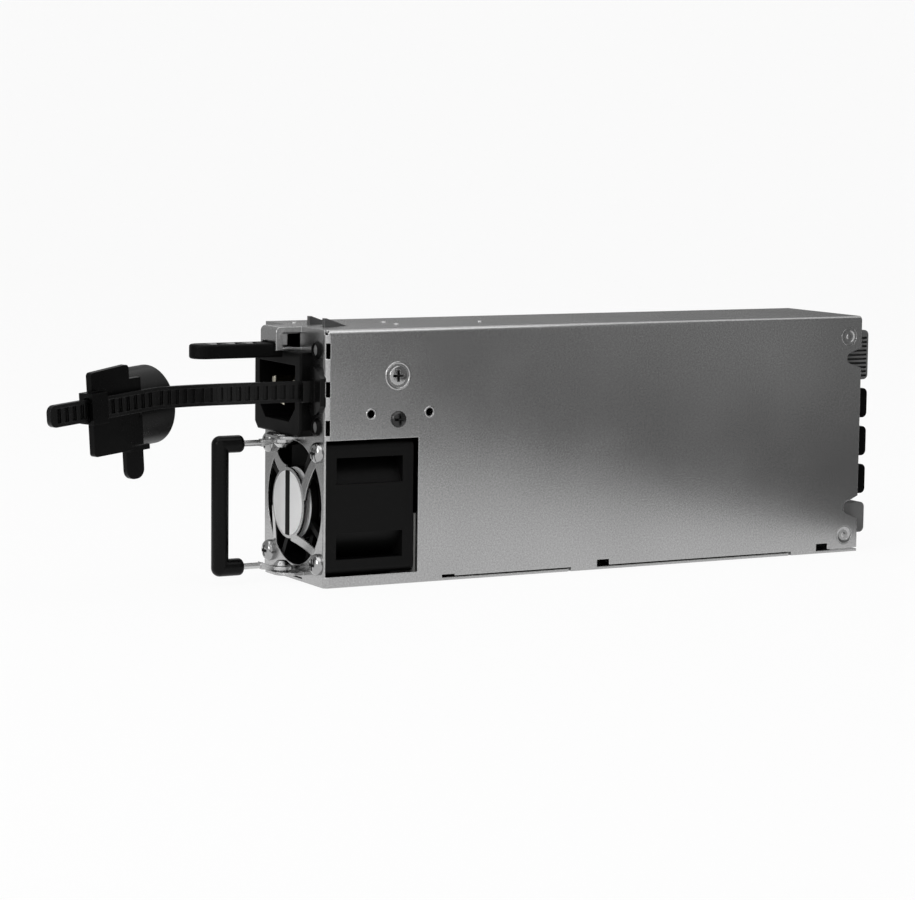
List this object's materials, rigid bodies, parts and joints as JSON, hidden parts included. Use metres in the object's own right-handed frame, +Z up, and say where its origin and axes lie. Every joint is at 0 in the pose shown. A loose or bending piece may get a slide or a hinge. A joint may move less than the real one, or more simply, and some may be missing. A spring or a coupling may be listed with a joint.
{
  "type": "hot swap server power supply",
  "caption": "Slim folded steel power supply module with a mains inlet, cooling fan, swing handle, sprung latch, cord retainer and rear output connector.",
  "frame": {"origin": "centre of the case's underside, which the module rests on", "axes": "+Y from the front panel towards the output connector, +Z up, +X towards the side wall with the fan window"},
  "size_m": [0.0511, 0.276, 0.0758],
  "materials": {
    "zinc_plated_steel": "fine matt zinc",
    "zinc_plated_steel_screw": "bright zinc",
    "bright_steel": "smooth",
    "spring_steel": "rolled",
    "black_steel": "black oxide",
    "black_plastic": "moulded",
    "black_nylon": "moulded",
    "black_sleeve": "dipped",
    "grey_plastic": "moulded",
    "grey_film": "smooth",
    "smoky_lens": "moulded",
    "white_label": "satin",
    "nickel_brass": "nickel plated",
    "ferrite": "sintered",
    "board_laminate": "solder mask",
    "insulating_film": "smooth",
    "ceramic_body": "glazed",
    "black_film_can": "shrink film",
    "aluminium_can": "drawn",
    "aluminium_extrusion": "extruded",
    "copper_bar": "rolled copper"
  },
  "bodies": {
    "power_supply": {"case_shell": "zinc_plated_steel", "case_cover": "zinc_plated_steel", "fan_frame": "black_plastic", "fan_bearings": "bright_steel", "fan_stator": "ferrite", "hub_sticker": "white_label", "grille_label": "white_label", "fan_screws": "zinc_plated_steel_screw", "air_baffle": "grey_film", "inlet_body": "black_plastic", "inlet_pins": "nickel_brass", "inlet_bracket": "zinc_plated_steel", "latch_rivets": "bright_steel", "handle_rivets": "bright_steel", "retainer_strap": "black_nylon", "silver_screw": "zinc_plated_steel_screw", "black_screw": "black_steel", "led_holders": "black_plastic", "led_lenses": "smoky_lens", "rear_studs": "bright_steel", "main_board": "board_laminate", "board_standoffs": "bright_steel", "board_screws": "bright_steel", "insulator": "insulating_film", "filter_choke": "ferrite", "filter_capacitor": "grey_plastic", "mains_fuse": "ceramic_body", "bridge_heatsink": "aluminium_extrusion", "bridge_rectifier": "black_plastic", "boost_choke": "ferrite", "bulk_capacitors": "black_film_can", "switch_heatsink": "aluminium_extrusion", "switch_transistors": "black_plastic", "transformer_core": "ferrite", "transformer_winding": "insulating_film", "standby_transformer": "ferrite", "output_heatsink": "aluminium_extrusion", "output_capacitors": "aluminium_can", "control_board": "board_laminate", "output_busbars": "copper_bar", "connector_spine": "black_plastic", "signal_block": "grey_plastic", "power_modules": "black_plastic", "guide_block": "grey_plastic", "power_contacts": "copper_bar"},
    "handle": {"handle_wire": "bright_steel", "handle_grip": "black_sleeve"},
    "rotor": {"fan_rotor": "black_plastic", "fan_shaft": "bright_steel", "rotor_magnet": "ferrite"},
    "latch": {"latch_leaf": "spring_steel", "release_tab": "black_plastic"},
    "clamp": {"clamp_housing": "black_nylon", "clamp_loop": "black_nylon"}
  },
  "joints": [
    {"name": "handle_swing", "type": "hinge", "parent": "power_supply", "child": "handle", "pos_m": [-0.0005, -0.0961, 0.0225], "axis": [0, 0, 1], "range_deg": [-75, 80]},
    {"name": "fan_spin", "type": "hinge", "parent": "power_supply", "child": "rotor", "pos_m": [0, -0.0777, 0.0224], "axis": [0, 1, 0], "continuous": true},
    {"name": "latch_press", "type": "hinge", "parent": "power_supply", "child": "latch", "pos_m": [0, -0.062, 0.07185], "axis": [1, 0, 0], "range_deg": [0, 6.1], "stiffness_Nm_per_rad": 3, "springref_deg": -1.72},
    {"name": "clamp_slide", "type": "slide", "parent": "power_supply", "child": "clamp", "axis": [0.3412, -0.9374, -0.0698], "range_m": [-0.01, 0.009]}
  ]
}
